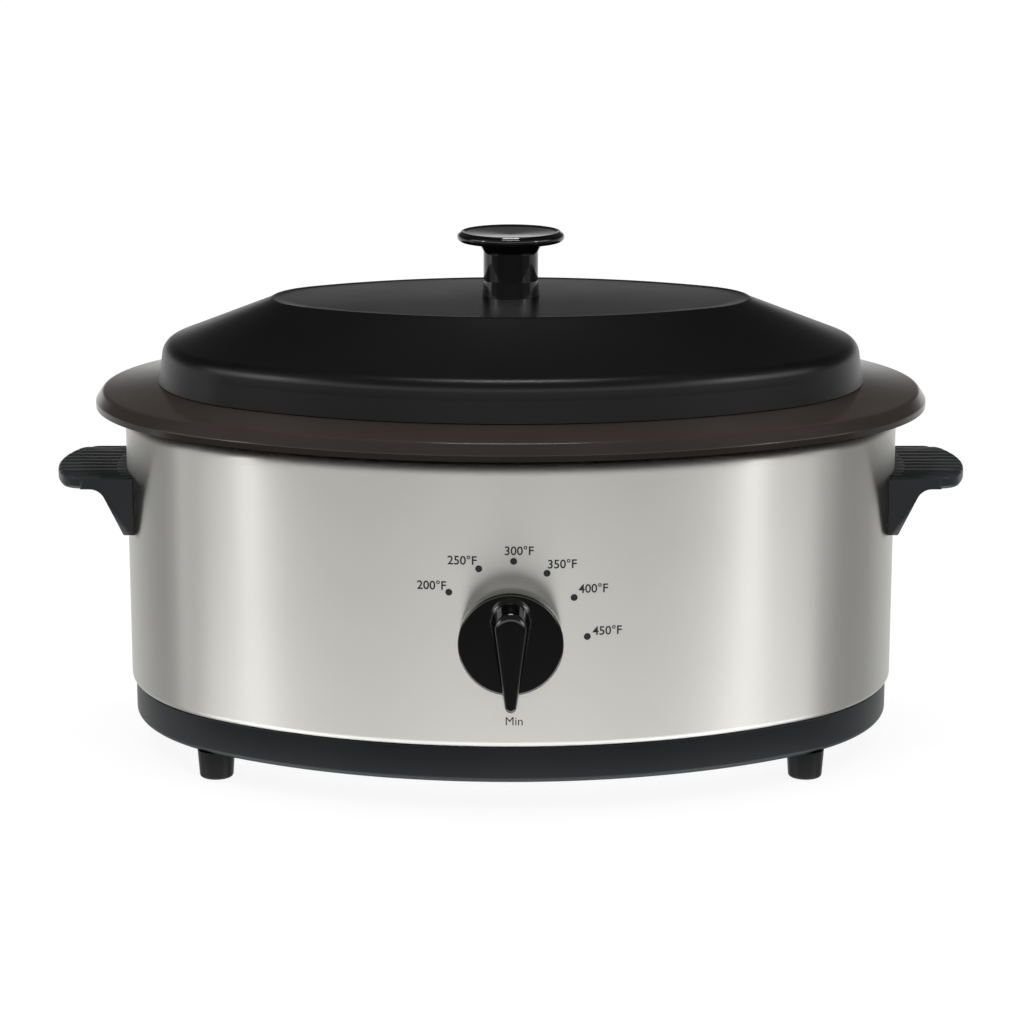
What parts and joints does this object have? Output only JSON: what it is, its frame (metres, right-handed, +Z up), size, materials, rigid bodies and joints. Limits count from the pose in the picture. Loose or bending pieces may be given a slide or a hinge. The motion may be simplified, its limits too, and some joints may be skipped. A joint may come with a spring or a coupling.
{
  "type": "electric roaster oven",
  "caption": "Oval countertop roaster oven: steel body with side handles and dial, lift-out cookwell and rack, lift-off domed lid.",
  "frame": {"origin": "centre of the overall box at the level of the feet", "axes": "+X along the length to the right handle, +Y to the rear, -Y to the dial, +Z up"},
  "size_m": [0.46, 0.3152, 0.2601],
  "materials": {
    "charcoal_plastic": "moulded phenolic, fine satin texture",
    "foot_plastic": "moulded, satin",
    "plated_steel": "zinc-plated sheet and screws",
    "brushed_steel_body": "brushed stainless steel",
    "liner_steel": "aluminised steel",
    "reflector": "bright reflector sheet",
    "steatite": "glazed ceramic",
    "mica": "mica sheet",
    "resistance_ribbon": "nickel-chrome ribbon",
    "glass_wool": "glass-wool blanket",
    "well_enamel": "glossy vitreous enamel on steel",
    "rack_chrome": "chromed wire",
    "lid_enamel": "satin black enamel on steel",
    "gloss_phenolic": "polished moulded phenolic",
    "handle_plastic": "moulded phenolic, satin",
    "thermostat_works": "ceramic and plated steel",
    "lead_sleeve": "silicone and glass sleeve",
    "fuse_metal": "plated fuse case",
    "gland_plastic": "moulded nylon"
  },
  "bodies": {
    "housing": {"base_pan": "charcoal_plastic", "foot_front_left": "foot_plastic", "foot_front_right": "foot_plastic", "foot_rear_left": "foot_plastic", "foot_rear_right": "foot_plastic", "bottom_plate": "plated_steel", "rim_screws": "plated_steel", "bracket_screws": "plated_steel", "body_shell": "brushed_steel_body", "seat_ring": "liner_steel", "heating_liner": "liner_steel", "liner_brackets": "plated_steel", "heat_shield": "reflector", "ceramic_spacers": "steatite", "mica_band": "mica", "heater_ribbons": "resistance_ribbon", "heater_strap": "plated_steel", "insulation_blanket": "glass_wool", "handle_left": "handle_plastic", "handle_right": "handle_plastic", "handle_screws": "plated_steel", "thermostat_body": "thermostat_works", "thermostat_nut": "plated_steel", "terminal_block": "steatite", "terminal_screws": "plated_steel", "cord_gland": "gland_plastic", "gland_nut": "gland_plastic", "lead_live": "lead_sleeve", "lead_heater": "lead_sleeve", "lead_fuse": "lead_sleeve", "thermal_fuse": "fuse_metal", "fuse_saddle": "plated_steel", "lead_neutral": "lead_sleeve"},
    "cookwell_body": {"cookwell": "well_enamel"},
    "rack_body": {"roasting_rack": "rack_chrome"},
    "lid_body": {"lid_shell": "lid_enamel", "lid_knob": "gloss_phenolic", "lid_knob_washer": "plated_steel", "lid_knob_screw": "plated_steel"},
    "dial_body": {"control_knob": "gloss_phenolic", "thermostat_shaft": "plated_steel"}
  },
  "joints": [
    {"name": "cookwell_lift", "type": "slide", "parent": "housing", "child": "cookwell_body", "axis": [0, 0, 1], "range_m": [0, 0.13]},
    {"name": "lid_lift", "type": "slide", "parent": "cookwell_body", "child": "lid_body", "axis": [0, 0, 1], "range_m": [0, 0.24]},
    {"name": "rack_lift", "type": "slide", "parent": "cookwell_body", "child": "rack_body", "axis": [0, 0, 1], "range_m": [0, 0.12]},
    {"name": "dial_turn", "type": "hinge", "parent": "housing", "child": "dial_body", "pos_m": [0, -0.14705, 0.086], "axis": [0, 1, 0], "range_deg": [0, 264.5]}
  ],
  "couplings": [
    {"joint": "rack_lift", "follows": "lid_lift", "ratio": 0.5}
  ]
}
